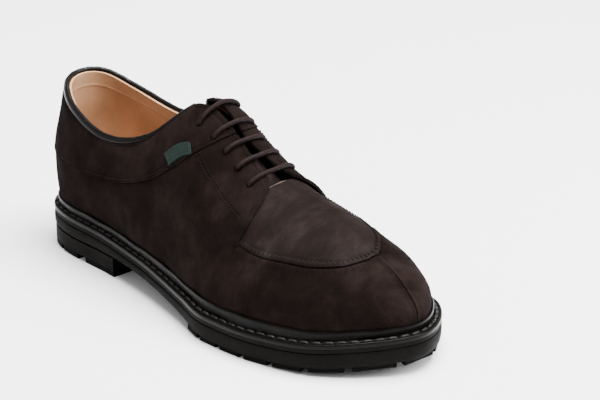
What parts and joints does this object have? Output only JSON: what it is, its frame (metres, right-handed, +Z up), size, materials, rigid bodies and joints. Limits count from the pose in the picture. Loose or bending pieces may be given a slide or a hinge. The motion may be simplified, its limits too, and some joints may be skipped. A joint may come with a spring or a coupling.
{
  "type": "derby shoe",
  "caption": "Right-foot apron-front derby shoe with storm welt, lugged rubber sole, open lacing and a hinged tongue.",
  "frame": {"origin": "middle of the sole's outline, on the ground", "axes": "+X towards the toe, +Y towards the inner side of the foot, +Z up"},
  "size_m": [0.3006, 0.114, 0.119],
  "materials": {
    "suede": "napped suede, dark brown",
    "glossy_leather": "smooth glossy dark leather",
    "tan_leather": "smooth tan lining leather",
    "board": "pressed leather board",
    "rubber": "dull dark brown rubber",
    "welt_leather": "waxed dark welt leather",
    "thread": "waxed dark thread",
    "lace_cord": "woven dark red-brown lace",
    "label_weave": "plain woven green label",
    "cork": "pressed cork",
    "steel": "plain steel",
    "lining_cloth": "lining twill",
    "aglet_sheath": "clear-brown sheath"
  },
  "bodies": {
    "shoe": {"outsole": "rubber", "heel_block": "rubber", "heel_nails": "steel", "midsole": "welt_leather", "welt": "welt_leather", "welt_stitching": "thread", "cork_filler": "cork", "shank": "steel", "insole": "board", "sock_lining": "tan_leather", "heel_counter": "board", "toe_puff": "board", "vamp_lining": "lining_cloth", "quarter_lining": "tan_leather", "facing_lining_lateral": "glossy_leather", "facing_lining_medial": "glossy_leather", "side_lateral": "suede", "side_medial": "suede", "collar_lateral": "suede", "collar_medial": "suede", "backstay": "suede", "heel_tab": "glossy_leather", "topline_binding": "glossy_leather", "apron": "suede", "apron_stitching": "thread", "side_label": "label_weave", "lace": "lace_cord", "aglets": "aglet_sheath"},
    "tongue": {"tongue": "suede", "tongue_lining": "tan_leather"}
  },
  "joints": [
    {"name": "tongue_hinge", "type": "hinge", "parent": "shoe", "child": "tongue", "pos_m": [0.0333, 0.0055, 0.0778], "axis": [0, 1, 0], "range_deg": [-12, 0], "stiffness_Nm_per_rad": 0.08, "springref_deg": 2.86}
  ]
}
